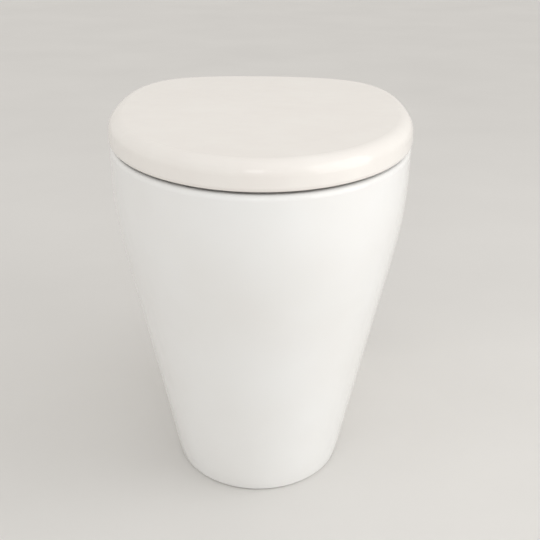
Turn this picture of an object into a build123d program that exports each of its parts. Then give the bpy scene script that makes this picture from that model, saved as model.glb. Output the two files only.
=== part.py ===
from build123d import *
import os

# Floor-standing, back-to-wall toilet pan with a wrap-over seat and lid.
# Millimetres, +Z up. The front faces -Y and the wall plane is at +Y.
# The origin is on the floor, in the middle of the footprint.

os.makedirs("parts", exist_ok=True)

# Overall size of the ceramic
pan_width = 360.0
pan_depth = 540.0
rim_height = 413.0

# Foot of the skirt
foot_width = 207.0
foot_depth = 395.0
foot_widest = 254.0
foot_back_width = 194.0

# Rim of the skirt
rim_widest = 262.0
rim_back_width = 300.0
taper_height = 280.0
skirt_levels = 8

# Ceramic walls
skirt_wall = 11.0
bowl_wall = 10.0
deck_wall = 22.0
foot_flange_width = 24.0
foot_flange_height = 14.0
foot_flange_start = 200.0
foot_bevel = 1.5
rim_edge_radius = 6.0

# Rim opening, flush channel and bowl, each reach measured from the wall
opening_width = 250.0
rim_front_width = 50.0
opening_rear = 165.0
opening_edge_radius = 8.0
egg_ratio = 0.43
lip_wall = 10.0
lip_height = 42.0
channel_width = 16.0
channel_roof = 14.0
bowl_ledge = 2.0
slope_height = 300.0
slope_width = 236.0
slope_front_step = 20.0
slope_rear = 180.0
water_height = 211.0
water_width = 132.0
water_front = 350.0
water_rear = 215.0
sump_height = 100.0
sump_width = 66.0
sump_front = 292.0
sump_rear = 228.0
neck_height = 150.0
neck_width = 90.0
neck_front = 312.0
neck_rear = 222.0

# Trapway and its outlet spigot
trap_radius = 25.0
trap_wall = 8.0
trap_bend = 36.0
trap_sill = 3.0
trap_sump_reach = 262.0
trap_rise_reach = 198.0
trap_crest_reach = 170.0
trap_fall_reach = 112.0
outlet_drop_reach = 96.0
outlet_height = 180.0
outlet_radius = 51.0
outlet_bore = 43.0
outlet_end_reach = 40.0
outlet_spigot_length = 29.0

# Flush inlet and the duct that feeds the rim
inlet_height = 340.0
inlet_radius = 37.0
inlet_bore = 27.5
inlet_end_reach = 42.0
inlet_depth = 76.0
duct_width = 50.0
duct_wall = 8.0
duct_rear = 100.0
duct_step = 7.0

# Space behind the bowl
rear_space_width = 262.0
rear_space_depth = 125.0
service_top = 345.0

# Wrap-over lid
lid_overhang = 0.0
lid_gap = 2.5
lid_rise = 34.5
lid_wall = 4.0
lid_roof = 4.5
lid_edge_radius = 16.0
lid_inner_radius = 10.0
lid_tuck_radius = 5.0
lid_back = 40.0
lid_widest = 269.0
lid_squareness = 0.78

# Seat ring
seat_gap = 4.0
seat_thickness = 15.5
seat_inset = 8.0
seat_back = 98.0
seat_squareness = 0.78
seat_opening_width = 216.0
seat_front_width = 74.0
seat_opening_rear = 186.0
seat_outer_radius = 7.0
seat_inner_radius = 7.0
seat_under_radius = 1.5

# Hinge line and its posts
hinge_back = 58.0
hinge_rise = 20.5
hinge_spacing = 140.0
hinge_offset = 26.0
post_width = 12.0
post_depth = 14.0
post_top_rise = 5.0
arm_half_height = 5.0
boss_radius = 6.0
foot_radius = 16.0
foot_plate = 3.0
gasket_thickness = 1.2
pin_radius = 4.0
running_clearance = 0.05
side_clearance = 1.0
knuckle_radius = 8.8
knuckle_length = 25.0
lid_swing_radius = 18.8
damper_radius = 6.2
damper_length = 15.0
damper_fit = 0.05

# Hinge fixings through the deck
deck_hole_radius = 7.5
stud_radius = 4.0
stud_length = 72.0
stud_grip = 14.0
pin_chamfer = 0.5
pin_setback = 2.0
sleeve_clearance = 0.1
sleeve_length = 19.0
washer_radius = 13.0
washer_thickness = 3.0
nut_radius = 9.0
nut_length = 14.0
wing_span = 34.0
wing_height = 10.0
wing_thickness = 3.5

# Buffers
buffer_radius = 6.0
buffer_stem_radius = 2.0
buffer_stem_length = 4.0
buffer_stem_depth = 3.0
buffer_edge_radius = 1.2
buffer_clearance = 0.3
seat_buffer_setback = 56.0
seat_buffer_spread = 150.0
seat_buffer_ahead = 40.0
lid_buffer_setback = 63.0
lid_buffer_spread = 120.0
lid_buffer_ahead = 31.0

# Side fixings to the floor
side_fix_reach = 120.0
side_fix_height = 42.0
side_pad_radius = 20.0
side_pad_depth = 20.0
side_recess_depth = 9.0
side_recess_radius = 11.2
side_hole_radius = 7.0
side_sleeve_clearance = 0.15
side_sleeve_flange_radius = 9.6
side_sleeve_flange = 1.5
side_screw_radius = 3.0
side_screw_head_radius = 5.5
side_screw_head = 3.6
side_screw_length = 50.0
cap_thickness = 1.6
cap_rim_wall = 1.0
cap_clearance = 0.2
bracket_length = 70.0
bracket_foot = 34.0
bracket_plate = 5.0
bracket_height = 62.0
bracket_boss_radius = 11.0
bracket_boss_length = 9.0
bracket_bore_clearance = 0.05
bracket_hole_radius = 4.5
bracket_hole_spacing = 46.0
gusset_thickness = 4.0
touch_gap = 0.3

# Service connections behind the pan
flush_pipe_radius = 22.5
flush_pipe_wall = 2.0
flush_pipe_depth = 96.0
flush_pipe_bead = 2.0
flush_pipe_bead_width = 3.0
inlet_seal_length = 30.0
inlet_seal_flange = 3.0
inlet_seal_flange_radius = 32.0
outlet_seal_length = 14.0
outlet_socket_radius = 56.0
outlet_socket_wall = 3.0
outlet_socket_lap = 25.0
drain_pipe_radius = 55.0
drain_pipe_wall = 3.2
seal_clearance = 0.1

# Values that follow from the ones above
wall_y = pan_depth / 2
wall_plane = Plane.XZ.offset(-wall_y)
opening_front = pan_depth - rim_front_width
slope_front = opening_front - slope_front_step
seat_opening_front = pan_depth - seat_front_width
axis_y = wall_y - hinge_back
axis_z = rim_height + hinge_rise
post_x = hinge_spacing / 2
post_y = axis_y - hinge_offset
lid_bottom = rim_height + lid_gap
lid_top = rim_height + lid_rise
seat_bottom = rim_height + seat_gap
seat_knuckle_x = post_x - post_width / 2 - side_clearance - knuckle_length
lid_knuckle_x = seat_knuckle_x - side_clearance - knuckle_length
seat_top = seat_bottom + seat_thickness
taper_rate = 2 / (rim_height + taper_height)
crown_height = rim_height - taper_height
seat_buffer_front_y = wall_y - pan_depth + seat_buffer_setback
seat_buffer_rear_y = wall_y - opening_rear - seat_buffer_ahead
seat_buffer_rear_x = opening_width / 2 - buffer_radius
lid_buffer_front_y = wall_y - pan_depth + lid_buffer_setback
lid_buffer_side_y = wall_y - lid_widest - lid_buffer_ahead
lid_buffer_side_x = (pan_width / 2 - seat_inset + seat_opening_width / 2) / 2
seat_buffer_points = [
    (-seat_buffer_spread / 2, seat_buffer_front_y),
    (seat_buffer_spread / 2, seat_buffer_front_y),
    (-seat_buffer_rear_x, seat_buffer_rear_y),
    (seat_buffer_rear_x, seat_buffer_rear_y),
]
lid_buffer_points = [
    (-lid_buffer_spread / 2, lid_buffer_front_y),
    (lid_buffer_spread / 2, lid_buffer_front_y),
    (-lid_buffer_side_x, lid_buffer_side_y),
    (lid_buffer_side_x, lid_buffer_side_y),
]


def blend(height):
    # Share of the way from foot to rim: a straight taper that eases upright at the rim
    if height <= taper_height:
        return taper_rate * height
    return 1 - taper_rate / (2 * crown_height) * (rim_height - height) ** 2


def between(foot_value, rim_value, height):
    return foot_value + (rim_value - foot_value) * blend(height)


def skirt_outline(height, inset, back_y):
    # Half an ellipse at the front, shallow arcs along the sides, flat at the back
    half = between(foot_width, pan_width, height) / 2 - inset
    back_half = between(foot_back_width, rim_back_width, height) / 2 - inset
    widest_y = wall_y - between(foot_widest, rim_widest, height)
    reach = between(foot_depth, pan_depth, height) - inset
    front = reach - between(foot_widest, rim_widest, height)
    with BuildSketch(Plane.XY.offset(height)) as outline:
        with BuildLine():
            EllipticalCenterArc((0, widest_y), half, front, start_angle=180, arc_size=180)
            right = TangentArc((half, widest_y), (back_half, back_y), tangent=(0, 1))
            left = TangentArc((-half, widest_y), (-back_half, back_y), tangent=(0, 1))
            Line(right @ 1, left @ 1)
        make_face()
    return outline.sketch


def skirt_half_width(height, reach):
    # Outer half width of the skirt at one height and distance from the wall
    half = between(foot_width, pan_width, height) / 2
    back_half = between(foot_back_width, rim_back_width, height) / 2
    length = between(foot_widest, rim_widest, height)
    narrowing = half - back_half
    radius = (narrowing**2 + length**2) / (2 * narrowing)
    return half - radius + (radius**2 - (length - reach) ** 2) ** 0.5


def egg_outline(height, width, front, rear, grow=0.0):
    # Two half ellipses that share the widest line
    widest = rear + egg_ratio * (front - rear)
    half = width / 2 + grow
    with BuildSketch(Plane.XY.offset(height)) as outline:
        with BuildLine():
            EllipticalCenterArc(
                (0, wall_y - widest), half, front + grow - widest, start_angle=180, arc_size=180
            )
            EllipticalCenterArc(
                (0, wall_y - widest), half, widest - rear + grow, start_angle=0, arc_size=180
            )
        make_face()
    return outline.sketch


def bowl_sections(grow):
    # Levels of the bowl from the lip down to the sump
    lip_grow = lip_wall + channel_width + grow
    return [
        egg_outline(rim_height - lip_height, opening_width, opening_front, opening_rear, lip_grow),
        egg_outline(slope_height, slope_width, slope_front, slope_rear, grow),
        egg_outline(water_height, water_width, water_front, water_rear, grow),
        egg_outline(neck_height, neck_width, neck_front, neck_rear, grow),
        egg_outline(sump_height - grow, sump_width, sump_front, sump_rear, grow),
    ]


def cover_outline(height, inset, back_reach, squareness):
    # Half an ellipse at the front and a squarer half at the back, for the lid and seat
    half = pan_width / 2 - inset
    widest_y = wall_y - lid_widest
    front = pan_depth + lid_overhang - lid_widest - inset
    back_y = wall_y - back_reach
    run = back_y - widest_y
    with BuildSketch(Plane.XY.offset(height)) as outline:
        with BuildLine():
            EllipticalCenterArc((0, widest_y), half, front, start_angle=180, arc_size=180)
            Bezier(
                (half, widest_y),
                (half, widest_y + squareness * run),
                (squareness * half, back_y),
                (0, back_y),
            )
            Bezier(
                (0, back_y),
                (-squareness * half, back_y),
                (-half, widest_y + squareness * run),
                (-half, widest_y),
            )
        make_face()
    return outline.sketch


def trap_sketch(plane, radius):
    with BuildSketch(plane) as section:
        Circle(radius)
    return section.sketch


# Trapway route: back out of the sump, up over the weir and down to the outlet
crest_height = water_height + trap_radius
trap_floor = sump_height + trap_sill + trap_radius
with BuildLine() as trap_route:
    FilletPolyline(
        (0, wall_y - trap_sump_reach, trap_floor),
        (0, wall_y - trap_rise_reach, trap_floor),
        (0, wall_y - trap_crest_reach, crest_height),
        (0, wall_y - trap_fall_reach, crest_height),
        (0, wall_y - outlet_drop_reach, outlet_height),
        (0, wall_y - outlet_end_reach, outlet_height),
        radius=trap_bend,
    )
trap_start = Plane(origin=trap_route.line @ 0, z_dir=trap_route.line % 0)
skirt_heights = [rim_height * i / (skirt_levels - 1) for i in range(skirt_levels)]
service_heights = [foot_flange_height]
service_heights += [h for h in skirt_heights if foot_flange_height < h < service_top]
service_heights += [service_top]

# The open space behind and around the bowl, with the bowl and trapway left standing in it
side_skin_x = skirt_half_width(side_fix_height, side_fix_reach)
side_pad_x = side_skin_x - side_pad_depth
side_seat_x = side_skin_x - side_recess_depth
with BuildPart() as service_space:
    loft(sections=[skirt_outline(h, skirt_wall, wall_y + 1) for h in service_heights])
    add(skirt_outline(-1, foot_flange_width, wall_y + 1))
    extrude(amount=foot_flange_height + 2)
    with BuildSketch(Plane.XY.offset(-1)):
        add(skirt_outline(0, skirt_wall, wall_y + 1).moved(Location((0, 0, -1))))
        with Locations((0, wall_y - foot_flange_start / 2)):
            Rectangle(pan_width, foot_flange_start + 4, mode=Mode.INTERSECT)
    extrude(amount=foot_flange_height + 2)
    with BuildSketch(Plane.XY.offset(service_top - 1)):
        with Locations((0, wall_y + 1 - rear_space_depth / 2)):
            RectangleRounded(rear_space_width, rear_space_depth, 12)
            Rectangle(rear_space_width, rear_space_depth / 2, align=(Align.CENTER, Align.MIN))
    extrude(amount=rim_height - deck_wall - service_top + 1)
    loft(sections=bowl_sections(bowl_wall), mode=Mode.SUBTRACT)
    sweep(sections=trap_sketch(trap_start, trap_radius + trap_wall), path=trap_route.line,
          mode=Mode.SUBTRACT)
    with BuildSketch(Plane.XZ.offset(outlet_end_reach - wall_y)):
        with Locations((0, outlet_height)):
            Circle(outlet_radius)
    extrude(amount=outlet_spigot_length, mode=Mode.SUBTRACT)
    with BuildSketch(Plane.XZ.offset(inlet_end_reach - wall_y)):
        with Locations((0, inlet_height)):
            Circle(inlet_radius)
    extrude(amount=inlet_depth + duct_wall, mode=Mode.SUBTRACT)
    with BuildSketch(Plane.XZ.offset(duct_rear - duct_wall - wall_y)):
        with Locations((0, inlet_height)):
            Rectangle(duct_width + 2 * duct_wall, rim_height - inlet_height,
                      align=(Align.CENTER, Align.MIN))
    extrude(amount=opening_rear - duct_rear, mode=Mode.SUBTRACT)
    with BuildSketch(Plane.YZ.offset(side_pad_x)):
        with Locations((wall_y - side_fix_reach, side_fix_height)):
            Circle(side_pad_radius)
    side_pad = extrude(amount=2 * side_pad_depth, mode=Mode.SUBTRACT)
    mirror(side_pad, about=Plane.YZ, mode=Mode.SUBTRACT)

# The wet space: bowl, flush channel, trapway and inlet, cut from the ceramic in one piece
with BuildPart() as wet_space:
    loft(sections=bowl_sections(0))
    add(egg_outline(rim_height + 1, opening_width, opening_front, opening_rear))
    extrude(amount=-lip_height - 3)
    # Flush channel inside the rim, open downwards behind the lip
    channel_top = rim_height - channel_roof
    channel_rim = lip_wall + channel_width - bowl_ledge
    with BuildSketch(Plane.XY.offset(channel_top)) as channel:
        add(egg_outline(0, opening_width, opening_front, opening_rear, channel_rim))
        add(egg_outline(0, opening_width, opening_front, opening_rear, lip_wall),
            mode=Mode.SUBTRACT)
    extrude(amount=channel_roof - lip_height - bowl_ledge)
    # Trapway and outlet
    sweep(sections=trap_sketch(trap_start, trap_radius), path=trap_route.line)
    with BuildSketch(Plane.XZ.offset(outlet_end_reach - 1 - wall_y)):
        with Locations((0, outlet_height)):
            Circle(outlet_bore)
    extrude(amount=1 + outlet_spigot_length - trap_wall)
    # Flush inlet and the duct up into the channel
    with BuildSketch(Plane.XZ.offset(inlet_end_reach - 1 - wall_y)):
        with Locations((0, inlet_height)):
            Circle(inlet_bore)
    extrude(amount=1 + inlet_depth)
    with BuildSketch(Plane.XZ.offset(duct_rear - wall_y)):
        with Locations((0, inlet_height)):
            Rectangle(duct_width, channel_top - duct_step - inlet_height,
                      align=(Align.CENTER, Align.MIN))
    extrude(amount=opening_rear - lip_wall - channel_width / 2 - duct_rear)

with BuildPart() as pan:
    loft(sections=[skirt_outline(h, 0, wall_y + 1) for h in skirt_heights])
    split(bisect_by=wall_plane)
    rim_edges = pan.faces().sort_by(Axis.Z)[-1].edges().sort_by(Axis.Y)[:-1]
    fillet(rim_edges, radius=rim_edge_radius)
    foot_edges = pan.faces().sort_by(Axis.Z)[0].edges().sort_by(Axis.Y)[:-1]
    chamfer(foot_edges, length=foot_bevel)
    add(service_space.part, mode=Mode.SUBTRACT)
    add(wet_space.part, mode=Mode.SUBTRACT)
    opening_edges = pan.faces().sort_by(Axis.Z)[-1].inner_wires().edges()
    fillet(opening_edges, radius=opening_edge_radius)
    # Holes for the hinge studs
    with BuildSketch(Plane.XY.offset(rim_height)):
        with Locations((post_x, post_y), (-post_x, post_y)):
            Circle(deck_hole_radius)
    extrude(amount=-deck_wall - 1, mode=Mode.SUBTRACT)
    # Side fixing holes, recessed for their caps
    side_axis = (wall_y - side_fix_reach, side_fix_height)
    for side in (1, -1):
        with BuildSketch(Plane.YZ.offset(side * side_seat_x)):
            with Locations(side_axis):
                Circle(side_recess_radius)
        extrude(amount=side * 2 * side_recess_depth, mode=Mode.SUBTRACT)
        with BuildSketch(Plane.YZ.offset(side * (side_pad_x - 1))):
            with Locations(side_axis):
                Circle(side_hole_radius)
        extrude(amount=side * side_pad_depth, mode=Mode.SUBTRACT)
pan.part.label = "pan"
export_step(pan.part, "parts/pan.step")

# Wrap-over lid: a shallow shell whose skirt hides the seat
with BuildPart() as lid_hollow:
    add(cover_outline(lid_bottom - 1, lid_wall, lid_back + lid_wall, lid_squareness))
    extrude(amount=lid_top - lid_roof - lid_bottom + 1)
    ceiling_edges = lid_hollow.faces().sort_by(Axis.Z)[-1].edges()
    fillet(ceiling_edges, radius=lid_inner_radius)

with BuildPart() as lid_sweep:
    # Everything behind the hinge line stays inside the radius that swings clear of the deck
    with BuildSketch(Plane.YZ.offset(-pan_width)):
        with Locations((axis_y, axis_z)):
            Rectangle(2 * hinge_back, 4 * lid_swing_radius, align=(Align.MIN, Align.CENTER))
            Circle(lid_swing_radius, mode=Mode.SUBTRACT)
    extrude(amount=2 * pan_width)

with BuildPart() as lid:
    add(cover_outline(lid_bottom, 0, lid_back, lid_squareness))
    extrude(amount=lid_top - lid_bottom)
    fillet(lid.faces().sort_by(Axis.Z)[-1].edges(), radius=lid_edge_radius)
    fillet(lid.faces().sort_by(Axis.Z)[0].edges(), radius=lid_tuck_radius)
    add(lid_hollow.part, mode=Mode.SUBTRACT)
    add(lid_sweep.part, mode=Mode.SUBTRACT)
    # Slots in the rear wall that pass the hinge arms and the seat's knuckles
    with BuildSketch(Plane.YZ.offset(seat_knuckle_x - side_clearance)):
        with Locations((axis_y, lid_top - lid_roof)):
            Rectangle(hinge_back, lid_rise + lid_gap, align=(Align.MIN, Align.MAX))
    slot_width = post_x + post_width / 2 + 3 * side_clearance - seat_knuckle_x
    arm_slot = extrude(amount=slot_width, mode=Mode.SUBTRACT)
    mirror(arm_slot, about=Plane.YZ, mode=Mode.SUBTRACT)
    # Knuckles inboard of the seat's, hung from the roof
    with BuildSketch(Plane.YZ.offset(lid_knuckle_x)):
        with Locations((axis_y, axis_z)):
            Circle(knuckle_radius)
            Rectangle(2 * knuckle_radius, lid_rise - hinge_rise - lid_roof / 2,
                      align=(Align.CENTER, Align.MIN))
    lid_knuckle = extrude(amount=knuckle_length)
    mirror(lid_knuckle, about=Plane.YZ)
    for side in (1, -1):
        with BuildSketch(Plane.YZ.offset(side * lid_knuckle_x)):
            with Locations((axis_y, axis_z)):
                Circle(pin_radius + running_clearance)
        extrude(amount=side * knuckle_length, mode=Mode.SUBTRACT)
        with BuildSketch(Plane.YZ.offset(side * lid_knuckle_x)):
            with Locations((axis_y, axis_z)):
                Circle(damper_radius)
        extrude(amount=side * damper_length, mode=Mode.SUBTRACT)
    # Sockets for the lid buffer stems
    with BuildSketch(Plane.XY.offset(lid_top - lid_roof)) as lid_sockets:
        with Locations(*lid_buffer_points):
            Circle(buffer_stem_radius + running_clearance)
    extrude(amount=buffer_stem_depth, mode=Mode.SUBTRACT)
lid.part.label = "lid"
export_step(lid.part, "parts/lid.step")

# Seat ring with its two rear lugs
with BuildPart() as seat:
    add(cover_outline(seat_bottom, seat_inset, seat_back, seat_squareness))
    extrude(amount=seat_thickness)
    add(egg_outline(seat_bottom, seat_opening_width, seat_opening_front, seat_opening_rear))
    extrude(amount=seat_thickness, mode=Mode.SUBTRACT)
    seat_crown = seat.faces().sort_by(Axis.Z)[-1]
    fillet(seat_crown.outer_wire().edges(), radius=seat_outer_radius)
    seat_crown = seat.faces().sort_by(Axis.Z)[-1]
    fillet(seat_crown.inner_wires().edges(), radius=seat_inner_radius)
    seat_sole = seat.faces().sort_by(Axis.Z)[0]
    fillet(seat_sole.edges(), radius=seat_under_radius)
    # Lugs run back from the ring to the hinge line, just inboard of the posts
    lug_root_y = wall_y - seat_back - 2 * knuckle_radius
    with BuildSketch(Plane.YZ.offset(seat_knuckle_x)) as lug:
        with BuildLine():
            lug_top = Line((lug_root_y, seat_top - seat_under_radius), (axis_y, axis_z + knuckle_radius))
            lug_back = Line(lug_top @ 1, (axis_y, axis_z - knuckle_radius))
            lug_under = Line(lug_back @ 1, (lug_root_y, seat_bottom + seat_under_radius))
            Line(lug_under @ 1, lug_top @ 0)
        make_face()
        with Locations((axis_y, axis_z)):
            Circle(knuckle_radius)
    seat_lug = extrude(amount=knuckle_length)
    mirror(seat_lug, about=Plane.YZ)
    for side in (1, -1):
        with BuildSketch(Plane.YZ.offset(side * seat_knuckle_x)):
            with Locations((axis_y, axis_z)):
                Circle(pin_radius + running_clearance)
        extrude(amount=side * knuckle_length, mode=Mode.SUBTRACT)
        with BuildSketch(Plane.YZ.offset(side * seat_knuckle_x)):
            with Locations((axis_y, axis_z)):
                Circle(damper_radius)
        extrude(amount=side * damper_length, mode=Mode.SUBTRACT)
    # Sockets for the seat buffer stems
    with BuildSketch(Plane.XY.offset(seat_bottom)) as seat_sockets:
        with Locations(*seat_buffer_points):
            Circle(buffer_stem_radius + running_clearance)
    extrude(amount=buffer_stem_length + running_clearance, mode=Mode.SUBTRACT)
seat.part.label = "seat"
export_step(seat.part, "parts/seat.step")

# Buffers under the seat and under the lid, each pressed in by its stem
with BuildPart() as seat_buffers:
    with BuildSketch(Plane.XY.offset(rim_height + buffer_clearance)):
        with Locations(*seat_buffer_points):
            Circle(buffer_radius)
    extrude(amount=seat_gap - buffer_clearance)
    with BuildSketch(Plane.XY.offset(seat_bottom)):
        with Locations(*seat_buffer_points):
            Circle(buffer_stem_radius)
    extrude(amount=buffer_stem_length)
    fillet(seat_buffers.edges().group_by(Axis.Z)[0], radius=buffer_edge_radius)
seat_buffers.part.label = "seat_buffers"
export_step(seat_buffers.part, "parts/seat_buffers.step")

with BuildPart() as lid_buffers:
    with BuildSketch(Plane.XY.offset(seat_top + buffer_clearance)):
        with Locations(*lid_buffer_points):
            Circle(buffer_radius)
    extrude(amount=lid_top - lid_roof - seat_top - buffer_clearance)
    with BuildSketch(Plane.XY.offset(lid_top - lid_roof)):
        with Locations(*lid_buffer_points):
            Circle(buffer_stem_radius)
    extrude(amount=buffer_stem_depth - running_clearance)
    fillet(lid_buffers.edges().group_by(Axis.Z)[0], radius=buffer_edge_radius)
lid_buffers.part.label = "lid_buffers"
export_step(lid_buffers.part, "parts/lid_buffers.step")

# Pieces that come in a left and a right one
for name, side in (("left", -1), ("right", 1)):
    # Hinge post: foot plate, column and an arm that carries the pin behind it
    with BuildPart() as hinge_post:
        with BuildSketch(Plane.XY.offset(rim_height + gasket_thickness)):
            with Locations((side * post_x, post_y)):
                Circle(foot_radius)
        extrude(amount=foot_plate)
        fillet(hinge_post.edges().group_by(Axis.Z)[-1], radius=foot_plate / 2)
        with BuildSketch(Plane.XY.offset(rim_height + gasket_thickness)):
            with Locations((side * post_x, post_y)):
                RectangleRounded(post_width, post_depth, 3)
        extrude(amount=hinge_rise + post_top_rise - gasket_thickness)
        with BuildSketch(Plane.YZ.offset(side * post_x)):
            with BuildLine():
                arm_top = Line((post_y, axis_z + post_top_rise), (axis_y, axis_z + post_top_rise))
                arm_end = Line(arm_top @ 1, (axis_y, axis_z - arm_half_height))
                arm_foot = Line(arm_end @ 1, (post_y, axis_z - arm_half_height))
                Line(arm_foot @ 1, arm_top @ 0)
            make_face()
            with Locations((axis_y, axis_z)):
                Circle(boss_radius)
        extrude(amount=post_width / 2, both=True)
        with BuildSketch(Plane.YZ.offset(side * post_x)):
            with Locations((axis_y, axis_z)):
                Circle(pin_radius)
        extrude(amount=post_width, both=True, mode=Mode.SUBTRACT)
        with BuildSketch(Plane.XY.offset(rim_height)):
            with Locations((side * post_x, post_y)):
                Circle(stud_radius)
        extrude(amount=stud_grip + gasket_thickness, mode=Mode.SUBTRACT)
    hinge_post.part.label = f"hinge_post_{name}"
    export_step(hinge_post.part, f"parts/hinge_post_{name}.step")

    # Pin through the post, the lid knuckle and the seat knuckle
    pin_start = lid_knuckle_x + pin_setback
    pin_end = post_x + post_width / 2
    with BuildPart() as hinge_pin:
        with BuildSketch(Plane.YZ.offset(side * pin_start)):
            with Locations((axis_y, axis_z)):
                Circle(pin_radius)
        extrude(amount=side * (pin_end - pin_start))
        chamfer(hinge_pin.edges().filter_by(GeomType.CIRCLE), length=pin_chamfer)
    hinge_pin.part.label = f"hinge_pin_{name}"
    export_step(hinge_pin.part, f"parts/hinge_pin_{name}.step")

    # Rubber washer under the foot plate
    with BuildPart() as hinge_gasket:
        with BuildSketch(Plane.XY.offset(rim_height)):
            with Locations((side * post_x, post_y)):
                Circle(foot_radius)
                Circle(stud_radius + sleeve_clearance, mode=Mode.SUBTRACT)
        extrude(amount=gasket_thickness)
    hinge_gasket.part.label = f"hinge_gasket_{name}"
    export_step(hinge_gasket.part, f"parts/hinge_gasket_{name}.step")

    # Stud down through the deck
    with BuildPart() as hinge_stud:
        with BuildSketch(Plane.XY.offset(rim_height + gasket_thickness + stud_grip)):
            with Locations((side * post_x, post_y)):
                Circle(stud_radius)
        extrude(amount=-stud_length)
        chamfer(hinge_stud.edges().group_by(Axis.Z)[0], length=pin_chamfer)
    hinge_stud.part.label = f"hinge_stud_{name}"
    export_step(hinge_stud.part, f"parts/hinge_stud_{name}.step")

    # Expanding sleeve in the deck hole
    with BuildPart() as hinge_sleeve:
        with BuildSketch(Plane.XY.offset(rim_height - sleeve_clearance)):
            with Locations((side * post_x, post_y)):
                Circle(deck_hole_radius - sleeve_clearance)
                Circle(stud_radius + sleeve_clearance, mode=Mode.SUBTRACT)
        extrude(amount=-sleeve_length)
    hinge_sleeve.part.label = f"hinge_sleeve_{name}"
    export_step(hinge_sleeve.part, f"parts/hinge_sleeve_{name}.step")

    # Washer and wing nut below the deck
    deck_under = rim_height - deck_wall
    with BuildPart() as hinge_washer:
        with BuildSketch(Plane.XY.offset(deck_under)):
            with Locations((side * post_x, post_y)):
                Circle(washer_radius)
                Circle(stud_radius + sleeve_clearance, mode=Mode.SUBTRACT)
        extrude(amount=-washer_thickness)
        chamfer(hinge_washer.edges().group_by(Axis.Z)[0].sort_by(SortBy.RADIUS)[-1:],
                length=washer_thickness / 3)
    hinge_washer.part.label = f"hinge_washer_{name}"
    export_step(hinge_washer.part, f"parts/hinge_washer_{name}.step")

    with BuildPart() as hinge_nut:
        with BuildSketch(Plane.XY.offset(deck_under - washer_thickness)):
            with Locations((side * post_x, post_y)):
                Circle(nut_radius)
        extrude(amount=-nut_length)
        chamfer(hinge_nut.edges().group_by(Axis.Z)[0], length=nut_radius / 6)
        with BuildSketch(Plane.XY.offset(deck_under - washer_thickness - nut_length)):
            with Locations((side * post_x, post_y)):
                SlotOverall(wing_span, wing_thickness)
        extrude(amount=wing_height)
        with BuildSketch(Plane.XY.offset(deck_under - washer_thickness)):
            with Locations((side * post_x, post_y)):
                Circle(stud_radius + running_clearance)
        extrude(amount=-nut_length, mode=Mode.SUBTRACT)
    hinge_nut.part.label = f"hinge_nut_{name}"
    export_step(hinge_nut.part, f"parts/hinge_nut_{name}.step")

    # Bracket on the floor inside the skirt, with a boss that takes the side screw
    bracket_face_x = side_pad_x - touch_gap
    upstand_x = bracket_face_x - bracket_boss_length
    fix_y = wall_y - side_fix_reach
    with BuildPart() as floor_bracket:
        with BuildSketch(Plane.XY):
            with Locations((side * upstand_x, fix_y)):
                Rectangle(bracket_foot, bracket_length,
                          align=(Align.MAX if side > 0 else Align.MIN, Align.CENTER))
            with Locations((side * (upstand_x - bracket_foot / 2 - gusset_thickness / 2), fix_y)):
                with GridLocations(0, bracket_hole_spacing, 1, 2):
                    Circle(bracket_hole_radius, mode=Mode.SUBTRACT)
        extrude(amount=bracket_plate)
        with BuildSketch(Plane.YZ.offset(side * upstand_x)) as upstand:
            with Locations((fix_y, 0)):
                Rectangle(bracket_length, bracket_height, align=(Align.CENTER, Align.MIN))
            fillet(upstand.vertices().group_by(Axis.Y)[-1], radius=bracket_boss_radius)
        extrude(amount=-side * bracket_plate)
        with BuildSketch(Plane.YZ.offset(side * upstand_x)):
            with Locations((fix_y, side_fix_height)):
                Circle(bracket_boss_radius)
        extrude(amount=side * bracket_boss_length)
        # Gussets tie the upstand to the foot at both ends
        gusset_y = (bracket_length - gusset_thickness) / 2
        for end in (1, -1):
            with BuildSketch(Plane.XZ.offset(-fix_y - end * gusset_y)):
                with BuildLine():
                    Polyline(
                        (side * (upstand_x - bracket_plate / 2), bracket_plate / 2),
                        (side * (upstand_x - bracket_plate / 2), bracket_height - bracket_boss_radius),
                        (side * (upstand_x - bracket_plate), bracket_height - bracket_boss_radius),
                        (side * (upstand_x - bracket_foot), bracket_plate),
                        (side * (upstand_x - bracket_foot), bracket_plate / 2),
                        close=True,
                    )
                make_face()
            extrude(amount=gusset_thickness / 2, both=True)
        with BuildSketch(Plane.YZ.offset(side * (upstand_x + bracket_boss_length))):
            with Locations((fix_y, side_fix_height)):
                Circle(side_screw_radius + bracket_bore_clearance)
        extrude(amount=-side * (bracket_boss_length + bracket_plate), mode=Mode.SUBTRACT)
    floor_bracket.part.label = f"floor_bracket_{name}"
    export_step(floor_bracket.part, f"parts/floor_bracket_{name}.step")

    # Nylon sleeve in the ceramic hole
    with BuildPart() as side_sleeve:
        with BuildSketch(Plane.YZ.offset(side * side_seat_x)):
            with Locations((fix_y, side_fix_height)):
                Circle(side_sleeve_flange_radius)
        extrude(amount=side * side_sleeve_flange)
        with BuildSketch(Plane.YZ.offset(side * side_seat_x)):
            with Locations((fix_y, side_fix_height)):
                Circle(side_hole_radius - side_sleeve_clearance)
        extrude(amount=-side * (side_pad_depth - side_recess_depth))
        with BuildSketch(Plane.YZ.offset(side * (side_seat_x + side_sleeve_flange))):
            with Locations((fix_y, side_fix_height)):
                Circle(side_screw_radius + side_sleeve_clearance)
        extrude(amount=-side * side_pad_depth, mode=Mode.SUBTRACT)
    side_sleeve.part.label = f"side_sleeve_{name}"
    export_step(side_sleeve.part, f"parts/side_sleeve_{name}.step")

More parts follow.
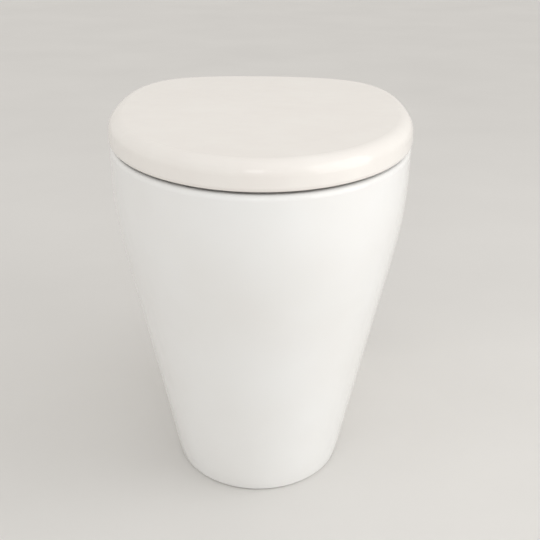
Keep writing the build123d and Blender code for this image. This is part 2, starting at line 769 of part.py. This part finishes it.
    # Side screw with a round head
    with BuildPart() as side_screw:
        with BuildSketch(Plane.YZ.offset(side * (side_seat_x + side_sleeve_flange))):
            with Locations((fix_y, side_fix_height)):
                Circle(side_screw_head_radius)
        extrude(amount=side * side_screw_head)
        head_rim = side_screw.edges().sort_by(Axis.X)[-1 if side > 0 else 0]
        fillet(head_rim, radius=side_screw_head / 3)
        with BuildSketch(Plane.YZ.offset(side * (side_seat_x + side_sleeve_flange))):
            with Locations((fix_y, side_fix_height)):
                Circle(side_screw_radius)
        extrude(amount=-side * side_screw_length)
    side_screw.part.label = f"side_screw_{name}"
    export_step(side_screw.part, f"parts/side_screw_{name}.step")

    # Cap pressed into the recess over the screw head
    cap_radius = side_recess_radius - cap_clearance
    with BuildPart() as side_cap:
        with BuildSketch(Plane.YZ.offset(side * (side_seat_x + touch_gap))):
            with Locations((fix_y, side_fix_height)):
                Circle(cap_radius)
        extrude(amount=side * (side_recess_depth - touch_gap))
        cap_rim = side_cap.edges().sort_by(Axis.X)[-1 if side > 0 else 0]
        fillet(cap_rim, radius=cap_thickness / 2)
        with BuildSketch(Plane.YZ.offset(side * (side_seat_x + touch_gap))):
            with Locations((fix_y, side_fix_height)):
                Circle(cap_radius - cap_rim_wall)
        extrude(amount=side * (side_recess_depth - touch_gap - cap_thickness), mode=Mode.SUBTRACT)
    side_cap.part.label = f"side_cap_{name}"
    export_step(side_cap.part, f"parts/side_cap_{name}.step")

# Rotary dampers and plain bushes, each in the inboard end of a knuckle
hinge_inserts = (
    ("lid_damper", -1, lid_knuckle_x),
    ("lid_bush", 1, lid_knuckle_x),
    ("seat_damper", 1, seat_knuckle_x),
    ("seat_bush", -1, seat_knuckle_x),
)
for name, side, mouth_x in hinge_inserts:
    with BuildPart() as insert:
        with BuildSketch(Plane.YZ.offset(side * mouth_x)):
            with Locations((axis_y, axis_z)):
                Circle(damper_radius - damper_fit)
                Circle(pin_radius + running_clearance, mode=Mode.SUBTRACT)
        extrude(amount=side * damper_length)
    insert.part.label = name
    export_step(insert.part, f"parts/{name}.step")

# Flush pipe from the wall and its seal in the inlet
inlet_axis = Axis((0, 0, inlet_height), (0, 1, 0))
inlet_face_y = wall_y - inlet_end_reach
with BuildPart() as flush_pipe:
    with BuildSketch(Plane.XZ.offset(-wall_y)):
        with Locations((0, inlet_height)):
            Circle(flush_pipe_radius)
            Circle(flush_pipe_radius - flush_pipe_wall, mode=Mode.SUBTRACT)
    extrude(amount=flush_pipe_depth)
    # Bead that stops the pipe against its seal
    with BuildSketch(Plane.XZ.offset(-inlet_face_y - inlet_seal_flange - touch_gap)):
        with Locations((0, inlet_height)):
            Circle(flush_pipe_radius + flush_pipe_bead)
            Circle(flush_pipe_radius - flush_pipe_wall / 2, mode=Mode.SUBTRACT)
    extrude(amount=-flush_pipe_bead_width)
flush_pipe.part.label = "flush_pipe"
export_step(flush_pipe.part, "parts/flush_pipe.step")

with BuildPart() as inlet_seal:
    with BuildSketch(Plane.YZ):
        with BuildLine():
            Polyline(
                (inlet_face_y, inlet_height + flush_pipe_radius + seal_clearance),
                (inlet_face_y - inlet_seal_length, inlet_height + flush_pipe_radius + seal_clearance),
                (inlet_face_y - inlet_seal_length, inlet_height + inlet_bore - 2),
                (inlet_face_y - inlet_seal_length / 2, inlet_height + inlet_bore - seal_clearance),
                (inlet_face_y, inlet_height + inlet_bore - seal_clearance),
                (inlet_face_y, inlet_height + inlet_seal_flange_radius),
                (inlet_face_y + inlet_seal_flange, inlet_height + inlet_seal_flange_radius),
                (inlet_face_y + inlet_seal_flange, inlet_height + flush_pipe_radius + seal_clearance),
                close=True,
            )
        make_face()
    revolve(axis=inlet_axis)
inlet_seal.part.label = "inlet_seal"
export_step(inlet_seal.part, "parts/inlet_seal.step")

# Drain connector with a socket over the outlet spigot, and the seal between them
outlet_axis = Axis((0, 0, outlet_height), (0, 1, 0))
spigot_y = wall_y - outlet_end_reach
socket_y = spigot_y + touch_gap
socket_outer_radius = outlet_socket_radius + outlet_socket_wall
with BuildPart() as drain_connector:
    with BuildSketch(Plane.YZ):
        with BuildLine():
            Polyline(
                (wall_y, outlet_height + drain_pipe_radius - drain_pipe_wall),
                (socket_y, outlet_height + drain_pipe_radius - drain_pipe_wall),
                (socket_y, outlet_height + outlet_socket_radius),
                (spigot_y - outlet_socket_lap, outlet_height + outlet_socket_radius),
                (spigot_y - outlet_socket_lap, outlet_height + socket_outer_radius),
                (socket_y + outlet_socket_wall, outlet_height + socket_outer_radius),
                (socket_y + 2 * outlet_socket_wall, outlet_height + drain_pipe_radius),
                (wall_y, outlet_height + drain_pipe_radius),
                close=True,
            )
        make_face()
    revolve(axis=outlet_axis)
drain_connector.part.label = "drain_connector"
export_step(drain_connector.part, "parts/drain_connector.step")

with BuildPart() as outlet_seal:
    with BuildSketch(Plane.XZ.offset(outlet_end_reach + seal_clearance - wall_y)):
        with Locations((0, outlet_height)):
            Circle(outlet_socket_radius - seal_clearance)
            Circle(outlet_radius + seal_clearance, mode=Mode.SUBTRACT)
    extrude(amount=outlet_seal_length)
outlet_seal.part.label = "outlet_seal"
export_step(outlet_seal.part, "parts/outlet_seal.step")
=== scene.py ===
from math import radians

import bmesh
import bpy
from mathutils import Euler, Matrix, Vector

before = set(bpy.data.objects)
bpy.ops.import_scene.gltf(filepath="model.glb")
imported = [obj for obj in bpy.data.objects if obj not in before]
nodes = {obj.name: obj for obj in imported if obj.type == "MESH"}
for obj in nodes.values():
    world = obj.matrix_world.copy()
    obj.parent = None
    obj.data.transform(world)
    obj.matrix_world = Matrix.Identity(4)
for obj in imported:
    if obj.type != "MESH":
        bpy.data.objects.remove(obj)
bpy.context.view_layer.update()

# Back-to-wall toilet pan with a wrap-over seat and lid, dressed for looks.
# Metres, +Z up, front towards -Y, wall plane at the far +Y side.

scene = bpy.context.scene
mm = 0.001


# ---------------------------------------------------------------- materials

def linear(code):
    """A sRGB hex colour as linear RGBA."""
    parts = [int(code[i:i + 2], 16) / 255 for i in (1, 3, 5)]
    return tuple(c / 12.92 if c <= 0.04045 else ((c + 0.055) / 1.055) ** 2.4 for c in parts) + (1,)


def node(tree, kind, inputs=None, **settings):
    """Adds one node; an input is a plain value or another node's output."""
    made = tree.nodes.new(kind)
    for name, value in settings.items():
        setattr(made, name, value)
    for name, value in (inputs or {}).items():
        if isinstance(value, bpy.types.NodeSocket):
            tree.links.new(value, made.inputs[name])
        else:
            made.inputs[name].default_value = value
    return made


def start(name):
    """An empty node material with its output and the object's coordinates."""
    made = bpy.data.materials.new(name)
    made.use_nodes = True
    tree = made.node_tree
    tree.nodes.clear()
    out = node(tree, "ShaderNodeOutputMaterial")
    place = node(tree, "ShaderNodeTexCoord").outputs["Object"]
    return made, tree, out, place


def finish_shader(tree, out, inputs):
    shader = node(tree, "ShaderNodeBsdfPrincipled", inputs)
    tree.links.new(shader.outputs["BSDF"], out.inputs["Surface"])


def speckle(tree, place, size, detail=2.0, rough=0.5):
    """Noise whose blotches are about size metres across."""
    return node(tree, "ShaderNodeTexNoise", {
        "Vector": place, "Scale": 1 / size, "Detail": detail, "Roughness": rough}).outputs["Fac"]


def ramp(tree, fac, low, high, low_at=0.3, high_at=0.7):
    """Colours between two tones."""
    made = node(tree, "ShaderNodeValToRGB", {"Fac": fac})
    made.color_ramp.elements[0].position = low_at
    made.color_ramp.elements[1].position = high_at
    made.color_ramp.elements[0].color = linear(low)
    made.color_ramp.elements[1].color = linear(high)
    return made.outputs["Color"]


def spread(tree, fac, low, high):
    """A number that follows the noise between two values."""
    return node(tree, "ShaderNodeMapRange", {
        "Value": fac, "From Min": 0.3, "From Max": 0.7, "To Min": low, "To Max": high}).outputs["Result"]


def bump(tree, height, depth, strength=1.0):
    return node(tree, "ShaderNodeBump", {
        "Height": height, "Distance": depth, "Strength": strength}).outputs["Normal"]


def glazed_vitreous_china():
    # White glaze fired over the clay body: a deep wet gloss that rolls very slightly,
    # with faint warm clouds where the glaze lies thinner.
    made, tree, out, place = start("glazed_vitreous_china")
    clouds = speckle(tree, place, 120 * mm)
    ripple = speckle(tree, place, 30 * mm, 1.0)
    finish_shader(tree, out, {
        "Base Color": ramp(tree, clouds, "#f2f1ef", "#f5f5f4"),
        "Roughness": spread(tree, speckle(tree, place, 20 * mm), 0.045, 0.075),
        "IOR": 1.52,
        "Normal": bump(tree, ripple, 0.10 * mm),
    })
    return made


def moulded_duroplast():
    # Compression-moulded urea resin: a touch warmer than the china and softer in its
    # gloss, with the faint flow marks of the press.
    made, tree, out, place = start("moulded_duroplast")
    flow = speckle(tree, place, 60 * mm, 3.0)
    finish_shader(tree, out, {
        "Base Color": ramp(tree, flow, "#f2ede8", "#f5f1ec"),
        "Roughness": spread(tree, speckle(tree, place, 15 * mm, 3.0), 0.085, 0.13),
        "IOR": 1.55,
        "Normal": bump(tree, speckle(tree, place, 25 * mm, 1.0), 0.06 * mm),
    })
    return made


def moulded_rubber(name, low, high, rough):
    # Rubber pressed in a die: matt, with a fine spark-eroded tooth.
    made, tree, out, place = start(name)
    tooth = speckle(tree, place, 0.6 * mm, 2.0)
    finish_shader(tree, out, {
        "Base Color": ramp(tree, speckle(tree, place, 8 * mm, 3.0), low, high),
        "Roughness": spread(tree, tooth, rough - 0.06, rough + 0.06),
        "IOR": 1.52,
        "Normal": bump(tree, tooth, 0.03 * mm),
    })
    return made


def satin_plated_metal(name, low, high, rough):
    # Plated and satin-brushed along its length: soft streaked highlights.
    made, tree, out, place = start(name)
    streak = 0.08
    along = node(tree, "ShaderNodeMapping", {
        "Vector": place, "Scale": (streak, 1.0, 1.0)}).outputs[0]
    grain = speckle(tree, along, 0.5 * mm, 3.0)
    finish_shader(tree, out, {
        "Base Color": ramp(tree, speckle(tree, place, 10 * mm, 2.0), low, high),
        "Metallic": 1.0,
        "Roughness": spread(tree, grain, rough - 0.05, rough + 0.07),
        "Normal": bump(tree, grain, 0.008 * mm),
    })
    return made


def moulded_plastic(name, low, high, rough, grit=0.8 * mm):
    # Injection-moulded plastic: an even skin with the light texture of the mould.
    made, tree, out, place = start(name)
    tooth = speckle(tree, place, grit, 2.0)
    finish_shader(tree, out, {
        "Base Color": ramp(tree, speckle(tree, place, 20 * mm, 3.0), low, high),
        "Roughness": spread(tree, tooth, rough - 0.05, rough + 0.05),
        "IOR": 1.5,
        "Normal": bump(tree, tooth, 0.02 * mm),
    })
    return made


china_glaze = glazed_vitreous_china()
duroplast = moulded_duroplast()
buffer_rubber = moulded_rubber("buffer_pressed_rubber", "#cfcdc8", "#dbd9d5", 0.5)
gasket_rubber = moulded_rubber("gasket_pressed_rubber", "#2b2b2c", "#3a3a3b", 0.62)
seal_rubber = moulded_rubber("seal_epdm_rubber", "#1f1f20", "#2c2c2d", 0.55)
hinge_metal = satin_plated_metal("hinge_satin_plated_zinc", "#c9c8c5", "#dddcd9", 0.24)
pin_steel = satin_plated_metal("stainless_turned_steel", "#c2c1be", "#d6d5d2", 0.2)
nylon = moulded_plastic("natural_nylon", "#dfdccf", "#ebe8dd", 0.42)
bracket_plastic = moulded_plastic("bracket_grey_nylon", "#8d9092", "#9b9ea0", 0.5, 1.2 * mm)
cap_plastic = moulded_plastic("cap_white_abs", "#eeecea", "#f2f1ef", 0.16)
damper_plastic = moulded_plastic("damper_acetal", "#37393b", "#434547", 0.34)
pipe_plastic = moulded_plastic("pipe_white_polypropylene", "#dcdad4", "#e8e6e1", 0.36)

finishes = {
    "pan": china_glaze, "seat": duroplast, "lid": duroplast,
    "seat_buffers": buffer_rubber, "lid_buffers": buffer_rubber,
    "lid_damper": damper_plastic, "seat_damper": damper_plastic,
    "lid_bush": nylon, "seat_bush": nylon,
    "flush_pipe": pipe_plastic, "drain_connector": pipe_plastic,
    "inlet_seal": seal_rubber, "outlet_seal": seal_rubber,
}
for side in ("left", "right"):
    finishes["hinge_post_" + side] = hinge_metal
    finishes["hinge_gasket_" + side] = gasket_rubber
    finishes["hinge_sleeve_" + side] = gasket_rubber
    finishes["floor_bracket_" + side] = bracket_plastic
    finishes["side_cap_" + side] = cap_plastic
    for part in ("hinge_pin_", "hinge_stud_", "side_screw_"):
        finishes[part + side] = pin_steel
    for part in ("hinge_washer_", "hinge_nut_", "side_sleeve_"):
        finishes[part + side] = nylon
for name, finish in finishes.items():
    for slot in nodes[name].material_slots:
        slot.material = finish


# ---------------------------------------------------------------- floor, light and camera

def set_piece(name, mesh, finish):
    """Turns a finished bmesh into an object at the origin."""
    data = bpy.data.meshes.new(name)
    mesh.to_mesh(data)
    mesh.free()
    data.materials.append(finish)
    piece = bpy.data.objects.new(name, data)
    scene.collection.objects.link(piece)
    return piece


def pale_floor():
    # Plain matt paint with the faintest mottling, so that the floor stays behind the object.
    made, tree, out, place = start("pale_matt_floor")
    finish_shader(tree, out, {
        "Base Color": ramp(tree, speckle(tree, place, 400 * mm, 3.0), "#dedcd9", "#e2e0dd"),
        "Roughness": spread(tree, speckle(tree, place, 10 * mm, 2.0), 0.6, 0.7),
        "IOR": 1.45,
    })
    return made


floor_radius = 14.0
floor_sides = 96
floor_drop = 0.3 * mm

ground = bmesh.new()
bmesh.ops.create_circle(ground, cap_ends=True, segments=floor_sides, radius=floor_radius)
bmesh.ops.translate(ground, verts=ground.verts, vec=(0, 0, -floor_drop))
floor = set_piece("studio_floor", ground, pale_floor())

# The room lights the object from all round, paler towards the front. Seen directly, in
# a gloss or through glass, it is one plain pale colour.
room_level = 1.0
backdrop_level = 1.0
front_from, back_from = -0.35, 0.45

room = bpy.data.worlds.new("pale_room")
scene.world = room
room.use_nodes = True
room.node_tree.nodes.clear()
sky = room.node_tree
way = node(sky, "ShaderNodeTexCoord").outputs["Generated"]
depth = node(sky, "ShaderNodeSeparateXYZ", {"Vector": way}).outputs["Y"]
tone = node(sky, "ShaderNodeMapRange", {
    "Value": depth, "From Min": front_from, "From Max": back_from})
tint = node(sky, "ShaderNodeMix", {"Factor": tone.outputs["Result"]}, data_type="RGBA")
tint.inputs[6].default_value = linear("#f6f6f5")
tint.inputs[7].default_value = linear("#dedbd7")
soft = node(sky, "ShaderNodeBackground", {"Color": tint.outputs[2], "Strength": room_level})
seen = node(sky, "ShaderNodeBackground", {
    "Color": linear("#e4e0da"), "Strength": backdrop_level})
path = node(sky, "ShaderNodeLightPath")
mirrored = node(sky, "ShaderNodeMath", {0: path.outputs["Is Glossy Ray"],
                                        1: path.outputs["Is Transmission Ray"]}, operation="MAXIMUM")
looked_at = node(sky, "ShaderNodeMath", {0: path.outputs["Is Camera Ray"],
                                         1: mirrored.outputs[0]}, operation="MAXIMUM")
both = node(sky, "ShaderNodeMixShader", {0: looked_at.outputs[0],
                                         1: soft.outputs[0], 2: seen.outputs[0]})
node(sky, "ShaderNodeOutputWorld", {"Surface": both.outputs[0]})


def softbox(name, place, aim, size, power):
    """A rectangular white area light that looks at aim; sizes in metres, power in watts."""
    data = bpy.data.lights.new(name, "AREA")
    data.shape = "RECTANGLE"
    data.size, data.size_y = size
    data.energy = power
    lamp = bpy.data.objects.new(name, data)
    lamp.location = place
    lamp.rotation_euler = (Vector(aim) - Vector(place)).to_track_quat("-Z", "Y").to_euler()
    scene.collection.objects.link(lamp)


softbox("side_softbox", place=(1.6, -0.45, 0.85), aim=(0, 0, 0.3),
        size=(1.7, 1.6), power=10.0)
softbox("front_softbox", place=(-0.14, -2.72, 1.79), aim=(0, 0, 0.35),
        size=(0.86, 0.9), power=4.0)

# The photograph's view: millimetres for the lens, degrees for the turns.
sensor_width, lens = 36.0, 74.21
camera_place = (0.0177, -1.3192, 0.7086)
tilt_down, turn_left, roll = 19.525, 0.219, 0.662

camera_data = bpy.data.cameras.new("camera")
camera_data.sensor_width = sensor_width
camera_data.lens = lens
camera = bpy.data.objects.new("camera", camera_data)
camera.location = camera_place
aimed = Euler((radians(90 - tilt_down), 0, radians(turn_left))).to_matrix()
look = aimed @ Matrix.Rotation(radians(roll), 3, "Z")
camera.rotation_euler = look.to_euler()
scene.collection.objects.link(camera)
scene.camera = camera
scene.view_settings.view_transform = "Standard"
